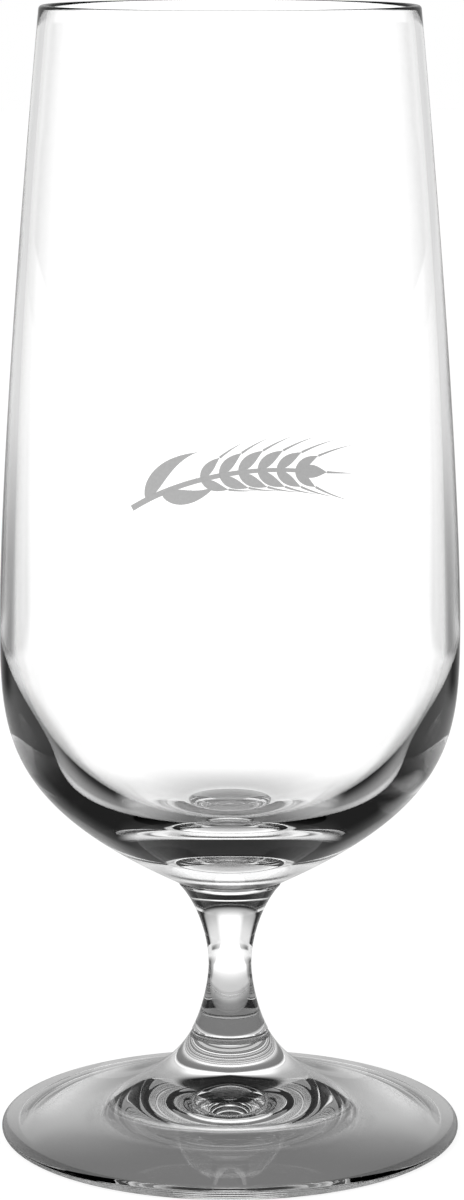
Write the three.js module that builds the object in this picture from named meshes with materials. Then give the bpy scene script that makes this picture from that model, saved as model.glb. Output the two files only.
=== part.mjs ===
// A stemmed beer glass: a tall tulip bowl on a short waisted stem and a round foot.
// It is three pieces of clear glass, made apart and joined hot, end face to end face.
// Millimetres, +Z up. The origin is on the table, under the middle of the foot.

import * as THREE from "three";

// Foot: a disc that sweeps up into a neck, standing on a flat ring round a hollowed underside
const FOOT_DIAMETER = 75;
const FOOT_HEIGHT = 16.5;
const FOOT_EDGE_RADIUS = 1.05;
const FOOT_REST_RING_WIDTH = 2;
const FOOT_UNDERSIDE_RISE = 6.8;
const FOOT_NECK_LEDGE = 0.25;

// Stem: a solid waisted rod between the two hot joints
const STEM_LENGTH = 25.5;
const STEM_WAIST_DIAMETER = 7;
const STEM_WAIST_HEIGHT = 11.5;
const LOWER_JOINT_DIAMETER = 12.4;
const UPPER_JOINT_DIAMETER = 16.6;
const SEAM_RADIUS = 0.35;

// Bowl: a blown wall that thins from a heavy base to a melted rim
const BOWL_HEIGHT = 141;
const BOWL_DIAMETER = 74.1;
const BOWL_BELLY_HEIGHT = 41;
const RIM_DIAMETER = 60;
const RIM_WALL = 1.3;
const BELLY_WALL = 2.3;
const BASE_THICKNESS = 9.4;

// Slopes of the profile in degrees from level
const FOOT_EDGE_SLOPE = 10;
const FOOT_NECK_SLOPE = 58.9;
const FOOT_UNDERSIDE_SLOPE = 20;
const STEM_BOTTOM_SLOPE = 63;
const STEM_TOP_SLOPE = 48;
const BOWL_FLARE_SLOPE = 27;
const RIM_LEAN = 5.6;

// How long each curve holds the direction at its end, as a share of its chord
const FOOT_TOP_PULL = { edge: 0.7, neck: 0.16 };
const FOOT_UNDERSIDE_PULL = { middle: 0.1, ring: 0.2 };
const STEM_LOWER_PULL = { joint: 0.34, waist: 0.24 };
const STEM_UPPER_PULL = { waist: 0.36, joint: 0.26 };
const BOWL_LOWER_PULL = { joint: 0.605, belly: 0.358 };
const BOWL_UPPER_PULL = { belly: 0.108, rim: 0.6 };
const BOWL_INNER_PULL = { belly: 0.53, base: 0.33 };

// Facets: straight steps round the axis, along a sweep and round a corner
const STEPS_ROUND = 48;
const STEPS_ALONG = 10;
const STEPS_ROUND_CORNER = 4;
const SAME_POINT = 1e-6;

// Headings along a profile, in degrees anticlockwise from straight out
const OUT = 0;
const UP = 90;
const IN = 180;
const DOWN = 270;

// A point of a profile: distance from the axis, and height
const at = (radius, height) => new THREE.Vector2(radius, height);

// The step of a given length along a heading
function step(heading, length) {
  const angle = THREE.MathUtils.degToRad(heading);
  return at(Math.cos(angle), Math.sin(angle)).multiplyScalar(length);
}

// The point of a rounded corner where a profile that turns left there has a given heading
const onCorner = (centre, radius, heading) => centre.clone().add(step(heading - UP, radius));

// Adds a smooth curve to an end point, leaving and arriving along the headings given
function sweepTo(path, end, leaving, leavingPull, arriving, arrivingPull) {
  const start = path.currentPoint.clone();
  const chord = start.distanceTo(end);
  const first = start.add(step(leaving, chord * leavingPull));
  const second = end.clone().sub(step(arriving, chord * arrivingPull));
  path.bezierCurveTo(first.x, first.y, second.x, second.y, end.x, end.y);
}

// Adds a rounded corner that turns left from one heading to another
function roundTo(path, centre, radius, from, to) {
  const [start, end] = [from, to].map((heading) => THREE.MathUtils.degToRad(heading - UP));
  path.absarc(centre.x, centre.y, radius, start, end, false);
}

function stepsOf(curve) {
  if (curve.isLineCurve) return 1;
  return curve.isEllipseCurve ? STEPS_ROUND_CORNER : STEPS_ALONG;
}

// Turns a profile about the axis and stands it up along +Z
function revolve(path) {
  const points = path.curves.flatMap((curve) => curve.getPoints(stepsOf(curve)));
  const apart = points.filter((p, i) => i === 0 || p.distanceTo(points[i - 1]) > SAME_POINT);
  return new THREE.LatheGeometry(apart, STEPS_ROUND).rotateX(Math.PI / 2);
}

// From the middle of the hollowed underside, over the rest ring and the edge, up to the lower joint
function footProfile() {
  const edge = at(FOOT_DIAMETER / 2 - FOOT_EDGE_RADIUS, FOOT_EDGE_RADIUS);
  const neckRadius = LOWER_JOINT_DIAMETER / 2 + FOOT_NECK_LEDGE;
  const seam = at(neckRadius - SEAM_RADIUS, FOOT_HEIGHT - SEAM_RADIUS);
  const overEdge = IN - FOOT_EDGE_SLOPE;
  const upNeck = IN - FOOT_NECK_SLOPE;
  const underside = FOOT_UNDERSIDE_PULL;
  const ring = at(edge.x - FOOT_REST_RING_WIDTH, 0);
  const path = new THREE.Path().moveTo(0, FOOT_UNDERSIDE_RISE);
  sweepTo(path, ring, OUT, underside.middle, -FOOT_UNDERSIDE_SLOPE, underside.ring);
  path.lineTo(edge.x, 0);
  roundTo(path, edge, FOOT_EDGE_RADIUS, OUT, overEdge);
  const neckTop = onCorner(seam, SEAM_RADIUS, upNeck);
  sweepTo(path, neckTop, overEdge, FOOT_TOP_PULL.edge, upNeck, FOOT_TOP_PULL.neck);
  roundTo(path, seam, SEAM_RADIUS, upNeck, IN);
  return path.lineTo(0, FOOT_HEIGHT);
}

// From the lower joint in to the waist and out again to the upper joint
function stemProfile() {
  const lowerSeam = at(LOWER_JOINT_DIAMETER / 2 - SEAM_RADIUS, SEAM_RADIUS);
  const upperSeam = at(UPPER_JOINT_DIAMETER / 2 - SEAM_RADIUS, STEM_LENGTH - SEAM_RADIUS);
  const waist = at(STEM_WAIST_DIAMETER / 2, STEM_WAIST_HEIGHT);
  const inward = IN - STEM_BOTTOM_SLOPE;
  const path = new THREE.Path().moveTo(0, 0).lineTo(lowerSeam.x, 0);
  roundTo(path, lowerSeam, SEAM_RADIUS, OUT, inward);
  sweepTo(path, waist, inward, STEM_LOWER_PULL.joint, UP, STEM_LOWER_PULL.waist);
  const topStart = onCorner(upperSeam, SEAM_RADIUS, STEM_TOP_SLOPE);
  sweepTo(path, topStart, UP, STEM_UPPER_PULL.waist, STEM_TOP_SLOPE, STEM_UPPER_PULL.joint);
  roundTo(path, upperSeam, SEAM_RADIUS, STEM_TOP_SLOPE, IN);
  return path.lineTo(0, STEM_LENGTH);
}

// From the upper joint up the outside, over the rim and down the inside to the middle of the base
function bowlProfile() {
  const belly = at(BOWL_DIAMETER / 2, BOWL_BELLY_HEIGHT);
  const innerBelly = at(belly.x - BELLY_WALL, BOWL_BELLY_HEIGHT);
  const rim = at(RIM_DIAMETER / 2 - RIM_WALL / 2, BOWL_HEIGHT - RIM_WALL / 2);
  const toRim = UP + RIM_LEAN;
  const fromRim = DOWN + RIM_LEAN;
  const outerRim = onCorner(rim, RIM_WALL / 2, toRim);
  const path = new THREE.Path().moveTo(0, 0).lineTo(UPPER_JOINT_DIAMETER / 2, 0);
  sweepTo(path, belly, BOWL_FLARE_SLOPE, BOWL_LOWER_PULL.joint, UP, BOWL_LOWER_PULL.belly);
  sweepTo(path, outerRim, UP, BOWL_UPPER_PULL.belly, toRim, BOWL_UPPER_PULL.rim);
  roundTo(path, rim, RIM_WALL / 2, toRim, fromRim);
  sweepTo(path, innerBelly, fromRim, BOWL_UPPER_PULL.rim, DOWN, BOWL_UPPER_PULL.belly);
  sweepTo(path, at(0, BASE_THICKNESS), DOWN, BOWL_INNER_PULL.belly, IN, BOWL_INNER_PULL.base);
  return path;
}

// A piece of clear, fire-polished glass that stands on a given height
function glassPiece(name, profile, height) {
  const clearGlass = new THREE.MeshStandardMaterial({
    color: 0xf1f5f4,
    roughness: 0.03,
    metalness: 0,
    transparent: true,
    opacity: 0.35,
  });
  const piece = new THREE.Mesh(revolve(profile), clearGlass);
  piece.name = name;
  piece.position.z = height;
  return piece;
}

const glass = new THREE.Group();
glass.add(glassPiece("foot", footProfile(), 0));
glass.add(glassPiece("stem", stemProfile(), FOOT_HEIGHT));
glass.add(glassPiece("bowl", bowlProfile(), FOOT_HEIGHT + STEM_LENGTH));

export default glass;
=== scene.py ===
"""A stemmed beer glass in clear glass on a white floor: bowl, stem, foot and an engraved ear of barley."""

import math

import bpy
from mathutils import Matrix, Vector


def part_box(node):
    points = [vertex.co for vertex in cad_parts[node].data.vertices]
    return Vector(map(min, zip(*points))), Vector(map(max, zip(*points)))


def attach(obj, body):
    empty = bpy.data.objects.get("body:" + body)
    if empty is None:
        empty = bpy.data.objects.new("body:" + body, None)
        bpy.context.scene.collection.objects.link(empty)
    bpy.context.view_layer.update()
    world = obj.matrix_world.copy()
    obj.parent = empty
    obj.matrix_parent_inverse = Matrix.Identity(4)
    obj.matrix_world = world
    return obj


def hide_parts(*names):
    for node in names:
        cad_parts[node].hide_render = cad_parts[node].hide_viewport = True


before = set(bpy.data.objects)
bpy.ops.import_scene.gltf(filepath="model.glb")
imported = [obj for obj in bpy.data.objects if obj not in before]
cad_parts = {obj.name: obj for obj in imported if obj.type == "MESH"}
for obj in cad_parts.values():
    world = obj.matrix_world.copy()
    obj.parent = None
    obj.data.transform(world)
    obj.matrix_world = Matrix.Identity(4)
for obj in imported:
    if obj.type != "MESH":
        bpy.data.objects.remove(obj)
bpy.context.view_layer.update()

# Lengths are in metres from here on, and MM turns a size in millimetres into one
MM = 0.001

# Headings and directions in degrees
OUT, UP, IN, DOWN = 0, 90, 180, 270
STRAIGHT_BEHIND = 0

# Camera that took the photograph, fitted to the outline of the glass
PHOTO_HEIGHT_PIXELS = 1200
CAMERA_DISTANCE = 619.5 * MM
CAMERA_HEIGHT = 200.8 * MM
CAMERA_PITCH = 10.294
FOCAL_PIXELS = 3914.5
AXIS_LEFT_OF_CENTRE_PIXELS = 2
SENSOR = 36

# Sizes that the frame gives
FOOT_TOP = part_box("foot")[1].z
FOOT_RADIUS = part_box("foot")[1].x
STEM_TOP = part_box("stem")[1].z
UPPER_JOINT_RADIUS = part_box("stem")[1].x
RIM_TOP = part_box("bowl")[1].z
BOWL_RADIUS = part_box("bowl")[1].x

# Sizes that the frame's boxes don't show, as in the solids
FOOT_EDGE_RADIUS = 1.05 * MM
FOOT_REST_RING_WIDTH = 2 * MM
FOOT_UNDERSIDE_RISE = 6.8 * MM
FOOT_NECK_LEDGE = 0.25 * MM
STEM_WAIST_RADIUS = 3.5 * MM
STEM_WAIST_HEIGHT = 11.5 * MM
LOWER_JOINT_RADIUS = 6.2 * MM
SEAM_RADIUS = 0.35 * MM
BELLY_HEIGHT = 41 * MM
RIM_RADIUS = 30 * MM
RIM_WALL = 1.3 * MM
BELLY_WALL = 2.3 * MM
BASE_THICKNESS = 9.4 * MM

# Slopes of the profile in degrees from level
FOOT_EDGE_SLOPE = 10
FOOT_NECK_SLOPE = 58.9
FOOT_UNDERSIDE_SLOPE = 20
STEM_BOTTOM_SLOPE = 63
STEM_TOP_SLOPE = 48
BOWL_FLARE_SLOPE = 27
RIM_LEAN = 5.6

# How long each curve holds the direction at its two ends, as a share of its chord
FOOT_UNDERSIDE_PULL = (0.1, 0.2)
FOOT_TOP_PULL = (0.7, 0.16)
STEM_LOWER_PULL = (0.34, 0.24)
STEM_UPPER_PULL = (0.36, 0.26)
BOWL_LOWER_PULL = (0.605, 0.358)
BOWL_UPPER_PULL = (0.108, 0.6)
BOWL_INNER_PULL = (0.53, 0.33)

# Steps of the fine meshes, and the radius under which a point counts as on the axis
STEPS_ROUND = 224
STEPS_ALONG = 56
STEPS_ROUND_CORNER = 14
ON_AXIS = 1e-9

# Surfaces of a piece, in the order of its materials, and how far the painted shade of the crease runs down
# the neck
SURFACES = ("clear", "joint", "shaded_crease")
CREASE_STEPS = 3

# Glass: how it bends light and how rough its polish is
GLASS_IOR = 1.52
POLISH = (0.0, 0.006)
# The crease's glass gets a dark tone: painted shade in the crease where stem and foot meet
CREASE_PAINTED_SHADE = 0.15
CREASE_ROUGHNESS = (0.1, 0.25)

# Swells of the glass: how many in a metre across and in a metre up, and their depth
SWELL = {"foot": (90, 320, 0.02 * MM), "stem": (60, 220, 0.01 * MM), "bowl": (28, 40, 0.03 * MM)}
NOISE_FROM_TO = (0.3, 0.7)

# Lane of painted light on the floor behind the glass: its half width, and its growth with distance near and
# further off
LANE_NEAR = (12 * MM, 0.52)
LANE_FURTHER = (35 * MM, 0.19)
LANE_FADES = (1.3, 2.4)
LANE_START = 30 * MM
NEAR_LANE = 0.5
NEAR_LANE_FROM_TO = (46 * MM, 84 * MM)

# Painted light and shade on the floor on both sides of the lane: brightness over distance, how wide it goes
# in degrees, and where it sets in
BESIDE_LANE = (0.1, 0.64)
BESIDE_LANE_FROM_TO = (0.25, 0.95)
BESIDE_LANE_ANGLES = (36, 48)
BESIDE_LANE_START = (270 * MM, 360 * MM)

# Painted light and shade on the floor everywhere else: brightness over distance
AROUND = (0.02, 0.75)
AROUND_FROM_TO = (80 * MM, 200 * MM)

# Painted shadow of the foot on the floor: dark in front, paler behind, in the lane and at both sides
FOOT_SHADE_EDGE = (36 * MM, 48 * MM)
UNDER_FOOT_DARK = 0.165
UNDER_FOOT_BEHIND = 0.16
UNDER_FOOT_BEHIND_FROM_TO = (14 * MM, 44 * MM)
UNDER_FOOT_LANE = 0.17
UNDER_FOOT_LANE_FROM_TO = (18 * MM, 40 * MM)
UNDER_FOOT_LANE_WIDTH = (10 * MM, 28 * MM)
UNDER_FOOT_SIDES = 0.25
UNDER_FOOT_SIDES_WIDTH = (8 * MM, 30 * MM)
UNDER_FOOT_SIDES_FROM_TO = (-26 * MM, 6 * MM)

# Wall behind the glass, by angle to the side and by elevation: pale with a white core, in a dark room
WALL_PALE = (0.66, 0.4)
WALL_PALE_FROM_TO = (2, 20)
WALL_PALE_WIDTH = (38, 50)
WALL_WHITE_WIDTH = (8, 20)
WALL_WHITE_HEIGHT = (10, 24)
WALL_HEIGHT = (21, 31)
DARK_ROOM = 0.012

# Strip of white wall that the level view from the side looks at
SIDE_STRIP = -90
SIDE_STRIP_WIDTH = (4, 13)
SIDE_STRIP_HEIGHT = (2, 10)

# How bright white is through the glass and in its reflections, and how much light wall and floor give
WHITE_THROUGH_GLASS = 1.3
WHITE_IN_REFLECTIONS = 0.45
ROOM_LIGHT = 0.9
FLOOR_LIGHT = 0.7

# Floor as the camera sees it: its own glow, and the tone that takes the shadow
FLOOR_WHITE = 0.86
FLOOR_TONE = 0.2
FLOOR_RADIUS = 3
FLOOR_STEPS = 128

# Soft lamp
LAMP_PLACE = (-0.5, -0.8, 0.9)
LAMP_SIZE = 0.6
LAMP_POWER = 4

# How often light may bend in the glass, and how often it may be mirrored
BENDS = 32
MIRRORINGS = 16

# Engraving: how high its middle is, how thick it lies on the glass, and its matt grey
ENGRAVING_HEIGHT = 114 * MM
ENGRAVING_LIFT = 0.04 * MM
ENGRAVING_TONES = (0.43, 0.51)
ENGRAVING_ROUGHNESS = (0.6, 0.8)
ENGRAVING_SHINE = 0.2
ENGRAVING_GRAINS_IN_A_METRE = 2600
ENGRAVING_GRAIN_DETAIL = 3
ENGRAVING_GRAIN_DEPTH = 0.03 * MM
ENGRAVING_BUMP = 0.4

# Ear of barley, drawn flat in millimetres and degrees: how far right of the middle it is, and its stalk
EAR_ACROSS = 0.5
STALK_START = (-15.8, -5.6)
STALK_HEADING = 32
STALK_LENGTH = 27
STALK_BEND = -38
STALK_WIDTH = 0.9

# Leaves: how far up the stalk each starts, its side and its length
LEAVES = ((0.1, 1, 11.5), (0.2, -1, 9))
LEAF_TURN = 44
LEAF_BEND = 58
LEAF_WIDTH = 2.3

# Pairs of grains up the stalk, from one share of it over a further one, and a last grain at its end
GRAIN_PAIRS = 6
GRAINS_START = 0.44
GRAINS_SPAN = 0.54
GRAIN_TURN = 46
GRAIN_LENGTH = 5
GRAIN_BEND = 24
GRAIN_WIDTH = 1.65
LAST_GRAIN_LENGTH = 4.6
LAST_GRAIN_WIDTH = 2

# Beards of the grains
BEARD_LENGTH = 4.4
BEARD_GROWTH = 2
BEARD_TURN = 24
BEARD_BEND = 14
BEARD_WIDTH = 0.36
LAST_BEARD_LENGTH = 5

# Steps of the ribbons that the ear is drawn with, and the least share of its width that a ribbon keeps
RIBBON_STEPS = 18
STALK_STEPS = 40
THINNEST = 0.02


# Profiles of the three pieces

def step(heading, length):
    """The step of a given length along a heading, in degrees anticlockwise from straight out."""
    angle = math.radians(heading)
    return Vector((math.cos(angle), math.sin(angle))) * length


def on_corner(centre, radius, heading):
    """The point of a rounded corner where a profile that turns left there has a given heading."""
    return centre + step(heading - UP, radius)


class Profile:
    """A line in the plane of radius and height, from the axis round to the axis."""

    def __init__(self, radius, height):
        self.points = [Vector((radius, height))]
        self.marks = {}

    def line_to(self, radius, height):
        self.points.append(Vector((radius, height)))

    def sweep_to(self, end, leaving, arriving, pulls, steps=STEPS_ALONG):
        """A smooth curve that holds each end's heading over a share of its chord."""
        start = self.points[-1]
        chord = (end - start).length
        first = start + step(leaving, chord * pulls[0])
        second = end - step(arriving, chord * pulls[1])
        for i in range(1, steps + 1):
            t = i / steps
            s = 1 - t
            self.points.append(s**3 * start + 3 * s * s * t * first + 3 * s * t * t * second + t**3 * end)

    def round_to(self, centre, radius, start, end, surface="clear"):
        """A rounded corner that turns left from one heading to another."""
        for i in range(1, STEPS_ROUND_CORNER + 1):
            heading = start + (end - start) * i / STEPS_ROUND_CORNER
            self.points.append(on_corner(centre, radius, heading))
            self.mark(surface)

    def mark(self, surface, steps=1):
        """Names the surface of the bands that the last steps make. A band that isn't marked is clear."""
        for i in range(steps):
            self.marks[len(self.points) - 2 - i] = surface


def foot_profile():
    """From the middle of the hollowed underside, over the rest ring and the edge, up to the lower joint."""
    edge = Vector((FOOT_RADIUS - FOOT_EDGE_RADIUS, FOOT_EDGE_RADIUS))
    seam = Vector((LOWER_JOINT_RADIUS + FOOT_NECK_LEDGE - SEAM_RADIUS, FOOT_TOP - SEAM_RADIUS))
    ring = Vector((edge.x - FOOT_REST_RING_WIDTH, 0))
    over_edge, up_neck = IN - FOOT_EDGE_SLOPE, IN - FOOT_NECK_SLOPE
    neck_top = on_corner(seam, SEAM_RADIUS, up_neck)
    line = Profile(0, FOOT_UNDERSIDE_RISE)
    line.sweep_to(ring, OUT, -FOOT_UNDERSIDE_SLOPE, FOOT_UNDERSIDE_PULL)
    line.line_to(edge.x, 0)
    line.round_to(edge, FOOT_EDGE_RADIUS, OUT, over_edge)
    line.sweep_to(neck_top, over_edge, up_neck, FOOT_TOP_PULL, 2 * STEPS_ALONG)
    # The top of the neck and its seam take the crease's painted shade
    line.mark("shaded_crease", CREASE_STEPS)
    line.round_to(seam, SEAM_RADIUS, up_neck, IN, "shaded_crease")
    line.line_to(0, FOOT_TOP)
    line.mark("joint")
    return line


def stem_profile():
    """From the lower joint in to the waist and out again to the upper joint."""
    lower = Vector((LOWER_JOINT_RADIUS - SEAM_RADIUS, FOOT_TOP + SEAM_RADIUS))
    upper = Vector((UPPER_JOINT_RADIUS - SEAM_RADIUS, STEM_TOP - SEAM_RADIUS))
    waist = Vector((STEM_WAIST_RADIUS, FOOT_TOP + STEM_WAIST_HEIGHT))
    inward = IN - STEM_BOTTOM_SLOPE
    line = Profile(0, FOOT_TOP)
    line.line_to(lower.x, FOOT_TOP)
    line.mark("joint")
    # The seam at the foot of the stem takes the crease's painted shade
    line.round_to(lower, SEAM_RADIUS, OUT, inward, "shaded_crease")
    line.sweep_to(waist, inward, UP, STEM_LOWER_PULL)
    line.sweep_to(on_corner(upper, SEAM_RADIUS, STEM_TOP_SLOPE), UP, STEM_TOP_SLOPE, STEM_UPPER_PULL)
    line.round_to(upper, SEAM_RADIUS, STEM_TOP_SLOPE, IN)
    line.line_to(0, STEM_TOP)
    line.mark("joint")
    return line


def bowl_profile():
    """From the upper joint up the outside, over the rim and down the inside to the middle of the base."""
    belly = Vector((BOWL_RADIUS, STEM_TOP + BELLY_HEIGHT))
    inner_belly = belly - Vector((BELLY_WALL, 0))
    rim = Vector((RIM_RADIUS - RIM_WALL / 2, RIM_TOP - RIM_WALL / 2))
    to_rim, from_rim = UP + RIM_LEAN, DOWN + RIM_LEAN
    line = Profile(0, STEM_TOP)
    line.line_to(UPPER_JOINT_RADIUS - SEAM_RADIUS, STEM_TOP)
    line.mark("joint")
    line.line_to(UPPER_JOINT_RADIUS, STEM_TOP)
    line.sweep_to(belly, BOWL_FLARE_SLOPE, UP, BOWL_LOWER_PULL)
    line.sweep_to(on_corner(rim, RIM_WALL / 2, to_rim), UP, to_rim, BOWL_UPPER_PULL)
    line.round_to(rim, RIM_WALL / 2, to_rim, from_rim)
    line.sweep_to(inner_belly, from_rim, DOWN, BOWL_UPPER_PULL[::-1])
    line.sweep_to(Vector((0, STEM_TOP + BASE_THICKNESS)), DOWN, IN, BOWL_INNER_PULL)
    return line


# Meshes

def new_object(name, mesh):
    made = bpy.data.objects.new(name, mesh)
    bpy.context.scene.collection.objects.link(made)
    return made


def turned_points(points):
    """The vertices of a profile turned about +Z, and for each of its points the ring of vertices it makes."""
    verts, rings = [], []
    for p in points:
        if p.x < ON_AXIS:
            rings.append([len(verts)] * STEPS_ROUND)
            verts.append((0, 0, p.y))
            continue
        rings.append(list(range(len(verts), len(verts) + STEPS_ROUND)))
        for i in range(STEPS_ROUND):
            turn = 2 * math.pi * i / STEPS_ROUND
            verts.append((p.x * math.cos(turn), p.x * math.sin(turn), p.y))
    return verts, rings


def revolve(name, line, materials):
    """A closed mesh turned about +Z from a profile, shaded smooth, with one material for each surface."""
    verts, rings = turned_points(line.points)
    faces, slots = [], []
    for j, (low, high) in enumerate(zip(rings, rings[1:])):
        slot = SURFACES.index(line.marks.get(j, "clear"))
        for i in range(STEPS_ROUND):
            k = (i + 1) % STEPS_ROUND
            corners = dict.fromkeys((low[i], low[k], high[k], high[i]))
            faces.append(list(corners))
            slots.append(slot)
    mesh = bpy.data.meshes.new(name)
    mesh.from_pydata(verts, [], faces)
    for material in materials:
        mesh.materials.append(material)
    mesh.polygons.foreach_set("material_index", slots)
    mesh.polygons.foreach_set("use_smooth", [SURFACES[slot] != "joint" for slot in slots])
    mesh.update()
    return new_object(name, mesh)


# Shader nodes

def maths(tree, operation, *values):
    """A math node of values and sockets, given as its output socket."""
    node = tree.nodes.new("ShaderNodeMath")
    node.operation = operation
    for socket, value in zip(node.inputs, values):
        if isinstance(value, (int, float)):
            socket.default_value = value
        else:
            tree.links.new(value, socket)
    return node.outputs[0]


def fade(tree, value, start, end, from_value, to_value):
    """A smooth change from one value to another as a socket goes from start to end."""
    node = tree.nodes.new("ShaderNodeMapRange")
    node.interpolation_type = "SMOOTHSTEP"
    node.inputs["From Min"].default_value = start
    node.inputs["From Max"].default_value = end
    node.inputs["To Min"].default_value = from_value
    node.inputs["To Max"].default_value = to_value
    tree.links.new(value, node.inputs["Value"])
    return node.outputs["Result"]


def mixed(tree, share, low, high):
    """A share of the way from a low value to a high one."""
    return maths(tree, "MULTIPLY_ADD", share, maths(tree, "SUBTRACT", high, low), low)


def add_bump(tree, shader, height, strength, depth):
    bump = tree.nodes.new("ShaderNodeBump")
    bump.inputs["Strength"].default_value = strength
    bump.inputs["Distance"].default_value = depth
    tree.links.new(height, bump.inputs["Height"])
    tree.links.new(bump.outputs["Normal"], shader.inputs["Normal"])


def new_material(name):
    material = bpy.data.materials.new(name)
    material.use_nodes = True
    return material, material.node_tree


# Materials of the glass

def clear_glass(name, waves_across, waves_up, depth, tone=1, roughness=POLISH):
    """Fire-polished glass. Its surface swells so many times in a metre across and up, to a small depth."""
    material, tree = new_material(name)
    shader = tree.nodes["Principled BSDF"]
    # A tone below 1 darkens the glass: that is painted shade, as in the crease
    shader.inputs["Base Color"].default_value = (tone, tone, tone, 1)
    shader.inputs["IOR"].default_value = GLASS_IOR
    shader.inputs["Transmission Weight"].default_value = 1
    place = tree.nodes.new("ShaderNodeMapping")
    place.inputs["Scale"].default_value = (waves_across, waves_across, waves_up)
    tree.links.new(tree.nodes.new("ShaderNodeTexCoord").outputs["Object"], place.inputs["Vector"])
    swell = tree.nodes.new("ShaderNodeTexNoise")
    swell.inputs["Scale"].default_value = 1
    swell.inputs["Detail"].default_value = 1
    tree.links.new(place.outputs["Vector"], swell.inputs["Vector"])
    height = swell.outputs["Fac"]
    add_bump(tree, shader, height, 1, depth)
    tree.links.new(fade(tree, height, *NOISE_FROM_TO, *roughness), shader.inputs["Roughness"])
    return material


def fused_joint():
    """The face where two pieces have melted together: nothing bends or reflects the light there."""
    material, tree = new_material("fused_joint")
    tree.nodes.remove(tree.nodes["Principled BSDF"])
    clear = tree.nodes.new("ShaderNodeBsdfTransparent")
    tree.links.new(clear.outputs[0], tree.nodes["Material Output"].inputs["Surface"])
    return material


def engraved_glass():
    """Glass ground matt: an even grey with a fine grain."""
    material, tree = new_material("engraved_glass")
    shader = tree.nodes["Principled BSDF"]
    noise = tree.nodes.new("ShaderNodeTexNoise")
    noise.inputs["Scale"].default_value = ENGRAVING_GRAINS_IN_A_METRE
    noise.inputs["Detail"].default_value = ENGRAVING_GRAIN_DETAIL
    tree.links.new(tree.nodes.new("ShaderNodeTexCoord").outputs["Object"], noise.inputs["Vector"])
    grain = noise.outputs["Fac"]
    ramp = tree.nodes.new("ShaderNodeValToRGB")
    for element, tone in zip(ramp.color_ramp.elements, ENGRAVING_TONES):
        element.color = (tone, tone, tone, 1)
    tree.links.new(grain, ramp.inputs["Fac"])
    tree.links.new(ramp.outputs["Color"], shader.inputs["Base Color"])
    tree.links.new(fade(tree, grain, *NOISE_FROM_TO, *ENGRAVING_ROUGHNESS), shader.inputs["Roughness"])
    add_bump(tree, shader, grain, ENGRAVING_BUMP, ENGRAVING_GRAIN_DEPTH)
    shader.inputs["Specular IOR Level"].default_value = ENGRAVING_SHINE
    return material


# Studio: a floor white to the camera, with painted light and shade that only the glass shows, and a pale wall
# in a dark room, so that the glass shows white with grey edges

def seen_brightness(tree, to_camera, through_glass, in_reflections, as_light):
    """One brightness each to the camera, through glass, in reflections and as light."""
    path = tree.nodes.new("ShaderNodeLightPath").outputs
    through = maths(tree, "MULTIPLY", path["Is Transmission Ray"], through_glass)
    mirrored = maths(tree, "SUBTRACT", path["Is Glossy Ray"], path["Is Transmission Ray"])
    reflected = maths(tree, "MULTIPLY", maths(tree, "MAXIMUM", mirrored, 0), in_reflections)
    lit = maths(tree, "MULTIPLY", path["Is Diffuse Ray"], as_light)
    direct = maths(tree, "MULTIPLY", path["Is Camera Ray"], to_camera)
    return maths(tree, "ADD", maths(tree, "ADD", through, reflected), maths(tree, "ADD", lit, direct))


def distance_from_axis(tree, x, y):
    squares = (maths(tree, "MULTIPLY", socket, socket) for socket in (x, y))
    return maths(tree, "SQRT", maths(tree, "ADD", *squares))


def light_side(tree, x, y, direction, white_to, dark_from):
    """White round one direction, in degrees from straight behind the glass, fading to both sides of it."""
    across = maths(tree, "MULTIPLY", x, math.sin(math.radians(direction)))
    behind = maths(tree, "MULTIPLY", y, math.cos(math.radians(direction)))
    nearness = maths(tree, "DIVIDE", maths(tree, "ADD", across, behind), distance_from_axis(tree, x, y))
    return fade(tree, nearness, math.cos(math.radians(dark_from)), math.cos(math.radians(white_to)), 0, 1)


def over_elevation(tree, z, start, end, from_value, to_value):
    """A change from one value to another between two elevations in degrees."""
    return fade(tree, z, math.sin(math.radians(start)), math.sin(math.radians(end)), from_value, to_value)


def wall_behind(tree, x, y, z):
    """The pale wall behind the glass, dimmer higher up, with a white core."""
    pale_side = light_side(tree, x, y, STRAIGHT_BEHIND, *WALL_PALE_WIDTH)
    pale = maths(tree, "MULTIPLY", pale_side, over_elevation(tree, z, *WALL_PALE_FROM_TO, *WALL_PALE))
    white_side = light_side(tree, x, y, STRAIGHT_BEHIND, *WALL_WHITE_WIDTH)
    core = maths(tree, "MULTIPLY", white_side, over_elevation(tree, z, *WALL_WHITE_HEIGHT, 1, 0))
    return maths(tree, "MULTIPLY", mixed(tree, core, pale, 1), over_elevation(tree, z, *WALL_HEIGHT, 1, 0))


def side_strip(tree, x, y, z):
    strip = light_side(tree, x, y, SIDE_STRIP, *SIDE_STRIP_WIDTH)
    return maths(tree, "MULTIPLY", strip, over_elevation(tree, z, *SIDE_STRIP_HEIGHT, 1, 0))


def studio_world():
    """The room: the camera sees plain white, and the glass shows the wall and the dark round it."""
    world = bpy.data.worlds.new("studio")
    bpy.context.scene.world = world
    world.use_nodes = True
    tree = world.node_tree
    direction = tree.nodes.new("ShaderNodeSeparateXYZ")
    tree.links.new(tree.nodes.new("ShaderNodeTexCoord").outputs["Generated"], direction.inputs[0])
    x, y, z = direction.outputs
    walls = maths(tree, "MAXIMUM", wall_behind(tree, x, y, z), side_strip(tree, x, y, z))
    white = maths(tree, "MAXIMUM", walls, DARK_ROOM)
    through = maths(tree, "MULTIPLY", white, WHITE_THROUGH_GLASS)
    reflected = maths(tree, "MULTIPLY", white, WHITE_IN_REFLECTIONS)
    strength = seen_brightness(tree, 1.0, through, reflected, ROOM_LIGHT)
    tree.links.new(strength, tree.nodes["Background"].inputs["Strength"])
    tree.nodes["Background"].inputs["Color"].default_value = (1, 1, 1, 1)


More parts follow.
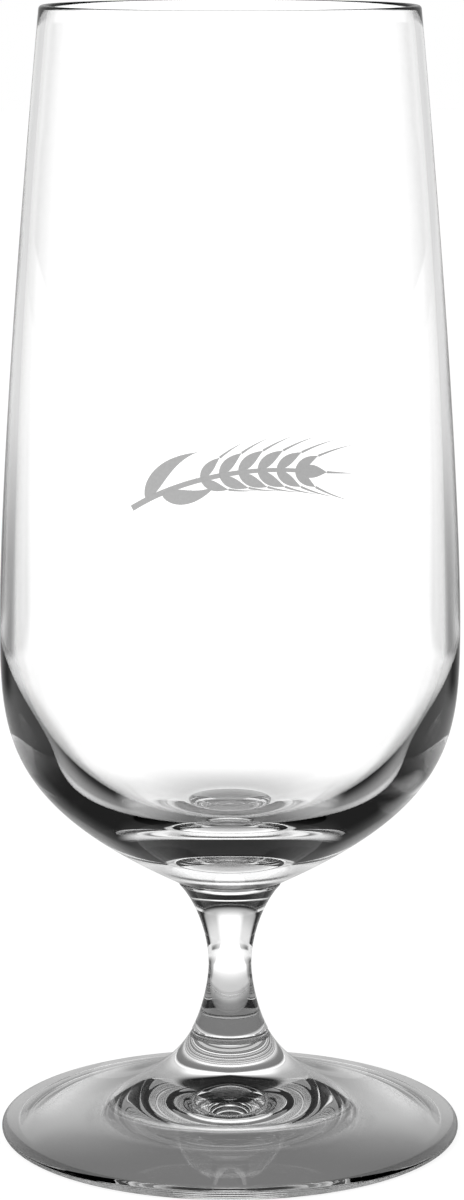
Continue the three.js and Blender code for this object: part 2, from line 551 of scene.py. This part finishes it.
def painted_light_lane(tree, x, y):
    """Painted light in the lane behind the glass. Half of it fades out soon beyond the lane's edges, half
    later.
    """
    widths = (maths(tree, "MULTIPLY_ADD", y, growth, start) for start, growth in (LANE_NEAR, LANE_FURTHER))
    off = maths(tree, "DIVIDE", maths(tree, "ABSOLUTE", x), maths(tree, "MINIMUM", *widths))
    halves = (fade(tree, off, 1, end, 0.5, 0) for end in LANE_FADES)
    return maths(tree, "MULTIPLY", maths(tree, "ADD", *halves), fade(tree, y, 0, LANE_START, 0, 1))


def under_foot(tree, x, y):
    """Painted shadow of the foot on the floor: the floor's brightness where the foot shades it."""
    sideways = maths(tree, "ABSOLUTE", x)
    in_lane = fade(tree, sideways, *UNDER_FOOT_LANE_WIDTH, 1, 0)
    lane = maths(tree, "MULTIPLY", in_lane, fade(tree, y, *UNDER_FOOT_LANE_FROM_TO, 0, UNDER_FOOT_LANE))
    at_sides = fade(tree, sideways, *UNDER_FOOT_SIDES_WIDTH, 0, UNDER_FOOT_SIDES)
    sides = maths(tree, "MULTIPLY", at_sides, fade(tree, y, *UNDER_FOOT_SIDES_FROM_TO, 0, 1))
    back = UNDER_FOOT_DARK + UNDER_FOOT_BEHIND
    behind = fade(tree, y, *UNDER_FOOT_BEHIND_FROM_TO, UNDER_FOOT_DARK, back)
    return maths(tree, "ADD", behind, maths(tree, "MAXIMUM", lane, sides))


def floor_brightness(tree, x, y):
    """Brightness of the floor as the glass shows it, painted: the lane of light, the floor beside it and the
    foot's shadow.
    """
    away = distance_from_axis(tree, x, y)
    beside_lane = light_side(tree, x, y, STRAIGHT_BEHIND, *BESIDE_LANE_ANGLES)
    beside_lane = maths(tree, "MULTIPLY", beside_lane, fade(tree, away, *BESIDE_LANE_START, 0, 1))
    beside = fade(tree, away, *BESIDE_LANE_FROM_TO, *BESIDE_LANE)
    around = fade(tree, away, *AROUND_FROM_TO, *AROUND)
    off_lane = mixed(tree, beside_lane, around, beside)
    lane = fade(tree, away, *NEAR_LANE_FROM_TO, NEAR_LANE, 1)
    open_floor = mixed(tree, painted_light_lane(tree, x, y), off_lane, lane)
    shown = mixed(tree, fade(tree, away, *FOOT_SHADE_EDGE, 1, 0), open_floor, under_foot(tree, x, y))
    return maths(tree, "MAXIMUM", shown, DARK_ROOM)


def floor_material():
    """A floor that glows white to the camera, takes the shadow, and shows painted light and shade through the
    glass.
    """
    material, tree = new_material("white_floor")
    place = tree.nodes.new("ShaderNodeSeparateXYZ")
    tree.links.new(tree.nodes.new("ShaderNodeNewGeometry").outputs["Position"], place.inputs[0])
    x, y, _ = place.outputs
    through = maths(tree, "MULTIPLY", floor_brightness(tree, x, y), WHITE_THROUGH_GLASS)
    reflected = maths(tree, "MULTIPLY", through, WHITE_IN_REFLECTIONS)
    strength = seen_brightness(tree, FLOOR_WHITE, through, reflected, FLOOR_LIGHT)
    to_camera = tree.nodes.new("ShaderNodeLightPath").outputs["Is Camera Ray"]
    shader = tree.nodes["Principled BSDF"]
    tree.links.new(maths(tree, "MULTIPLY", to_camera, FLOOR_TONE), shader.inputs["Base Color"])
    shader.inputs["Roughness"].default_value = 1
    shader.inputs["Specular IOR Level"].default_value = 0
    shader.inputs["Emission Color"].default_value = (1, 1, 1, 1)
    tree.links.new(strength, shader.inputs["Emission Strength"])
    return material


def studio_floor():
    bpy.ops.mesh.primitive_circle_add(vertices=FLOOR_STEPS, radius=FLOOR_RADIUS, fill_type="NGON")
    floor = bpy.context.object
    floor.name = "floor"
    floor.data.materials.append(floor_material())


def soft_lamp(name, place, size, power):
    """A large soft lamp that points at the middle of the glass and isn't mirrored in it."""
    lamp = new_object(name, bpy.data.lights.new(name, "AREA"))
    lamp.data.size = size
    lamp.data.energy = power
    lamp.location = place
    towards_glass = Vector((0, 0, RIM_TOP / 2)) - Vector(place)
    lamp.rotation_euler = towards_glass.to_track_quat("-Z", "Y").to_euler()
    lamp.visible_glossy = False
    lamp.visible_transmission = False


def photo_camera():
    camera = new_object("camera", bpy.data.cameras.new("camera"))
    camera.location = (0, -CAMERA_DISTANCE, CAMERA_HEIGHT)
    camera.rotation_euler = (math.radians(90 - CAMERA_PITCH), 0, 0)
    camera.data.sensor_width = SENSOR
    camera.data.lens = FOCAL_PIXELS / PHOTO_HEIGHT_PIXELS * SENSOR
    camera.data.shift_x = AXIS_LEFT_OF_CENTRE_PIXELS / PHOTO_HEIGHT_PIXELS
    return camera


# Engraved ear of barley: its ribbons are drawn flat in millimetres and laid on the front of the bowl

def bowl_radius_at(outside, z):
    """The outer radius of the bowl at a height above its belly."""
    for low, high in zip(outside, outside[1:]):
        if low.y <= z <= high.y:
            return low.x + (high.x - low.x) * (z - low.y) / (high.y - low.y)
    return RIM_RADIUS


def along(start, heading, length, bend, share):
    """The point and the heading at a share of an arc."""
    centre = Vector(start)
    for i in range(STALK_STEPS):
        facing = heading + bend * share * (i + 0.5) / STALK_STEPS
        centre = centre + step(facing, length * share / STALK_STEPS)
    return centre, heading + bend * share


class Engraving:
    """Thin closed ribbons on the bowl, each along an arc in the plane of width and height."""

    def __init__(self, height, across):
        self.height, self.across = height, across
        self.outside = [p for p in bowl_profile().points if p.y >= STEM_TOP + BELLY_HEIGHT]
        self.verts, self.faces = [], []

    def laid(self, p, lift):
        """The place on the front of the bowl of a point drawn flat."""
        z = self.height + p.y * MM
        r = bowl_radius_at(self.outside, z) + lift
        turn = (self.across + p.x) * MM / r
        return r * math.sin(turn), -r * math.cos(turn), z

    def ribbon(self, start, heading, length, bend, width, shape, steps=RIBBON_STEPS):
        """A ribbon that turns evenly by a bend, as wide as a shape from 0 to 1 says. Returns its end."""
        first = len(self.verts)
        centre, stride = Vector(start), length / steps
        for i in range(steps + 1):
            facing = heading + bend * i / steps
            half = step(facing + 90, max(shape(i / steps), THINNEST) * width / 2)
            for lift in (0, ENGRAVING_LIFT):
                self.verts.append(self.laid(centre + half, lift))
                self.verts.append(self.laid(centre - half, lift))
            if i < steps:
                centre = centre + step(heading + bend * (i + 0.5) / steps, stride)
        self.close_ribbon(first, steps)
        return centre

    def close_ribbon(self, first, steps):
        """The faces of a ribbon whose steps have four vertices each, from a first one on."""
        for a in range(first, first + 4 * steps, 4):
            b = a + 4
            self.faces += [(a, b, b + 1, a + 1), (a + 3, b + 3, b + 2, a + 2)]
            self.faces += [(a + 2, b + 2, b, a), (a + 1, b + 1, b + 3, a + 3)]
        last = first + 4 * steps
        self.faces += [(first, first + 1, first + 3, first + 2), (last + 2, last + 3, last + 1, last)]

    def finish(self, name, material):
        mesh = bpy.data.meshes.new(name)
        mesh.from_pydata(self.verts, [], self.faces)
        mesh.materials.append(material)
        mesh.update()
        return new_object(name, mesh)


# Shapes of the ribbons: the share of the full width at a share of the length

def stalk_shape(t):
    return 1 - 0.35 * t


def leaf_shape(t):
    return math.sin(math.pi * t ** 0.6) ** 1.2


def grain_shape(t):
    return math.sin(math.pi * t ** 0.8)


def beard_shape(t):
    return 1 - t


def grain_size(share):
    """The size of a grain at a share of the ear. They are largest just below its middle."""
    return 1 - 0.5 * (share - 0.45) ** 2


def barley_ear():
    ear = Engraving(ENGRAVING_HEIGHT, EAR_ACROSS)
    stalk = (STALK_START, STALK_HEADING, STALK_LENGTH, STALK_BEND)
    ear.ribbon(*stalk, STALK_WIDTH, stalk_shape, STALK_STEPS)
    for share, side, length in LEAVES:
        place, heading = along(*stalk, share)
        ear.ribbon(place, heading + side * LEAF_TURN, length, -side * LEAF_BEND, LEAF_WIDTH, leaf_shape)
    for i in range(GRAIN_PAIRS):
        share = i / (GRAIN_PAIRS - 1)
        place, heading = along(*stalk, GRAINS_START + GRAINS_SPAN * share)
        for side in (1, -1):
            bearded_grain(ear, place, heading, side, share)
    place, heading = along(*stalk, 1)
    tip = ear.ribbon(place, heading, LAST_GRAIN_LENGTH, 0, LAST_GRAIN_WIDTH, grain_shape)
    ear.ribbon(tip, heading, LAST_BEARD_LENGTH, 0, BEARD_WIDTH, beard_shape)
    return ear


def bearded_grain(ear, place, heading, side, share):
    """A grain on one side of the stalk, at a share of the ear, with a beard from its tip."""
    size = grain_size(share)
    turned = heading + side * GRAIN_TURN
    tip = ear.ribbon(place, turned, GRAIN_LENGTH * size, -side * GRAIN_BEND, GRAIN_WIDTH * size, grain_shape)
    length = BEARD_LENGTH + BEARD_GROWTH * share
    ear.ribbon(tip, heading + side * BEARD_TURN, length, -side * BEARD_BEND, BEARD_WIDTH, beard_shape)


# The scene

scene = bpy.context.scene
scene.camera = photo_camera()

joint = fused_joint()
# Glass of the crease, darkened with a painted shade
shaded_crease = clear_glass("painted_shade_crease", *SWELL["foot"], CREASE_PAINTED_SHADE, CREASE_ROUGHNESS)
for node, profile in (("foot", foot_profile()), ("stem", stem_profile()), ("bowl", bowl_profile())):
    glass = clear_glass("clear_" + node, *SWELL[node])
    piece = revolve("clear_" + node, profile, [glass, joint, shaded_crease])
    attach(piece, "root")
    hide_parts(node)

studio_world()
studio_floor()

engraving = barley_ear().finish("barley_engraving", engraved_glass())
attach(engraving, "root")

soft_lamp("key_lamp", LAMP_PLACE, LAMP_SIZE, LAMP_POWER)

scene.view_settings.view_transform = "Standard"
scene.cycles.max_bounces = BENDS
scene.cycles.transmission_bounces = BENDS
scene.cycles.glossy_bounces = MIRRORINGS
scene.cycles.transparent_max_bounces = MIRRORINGS
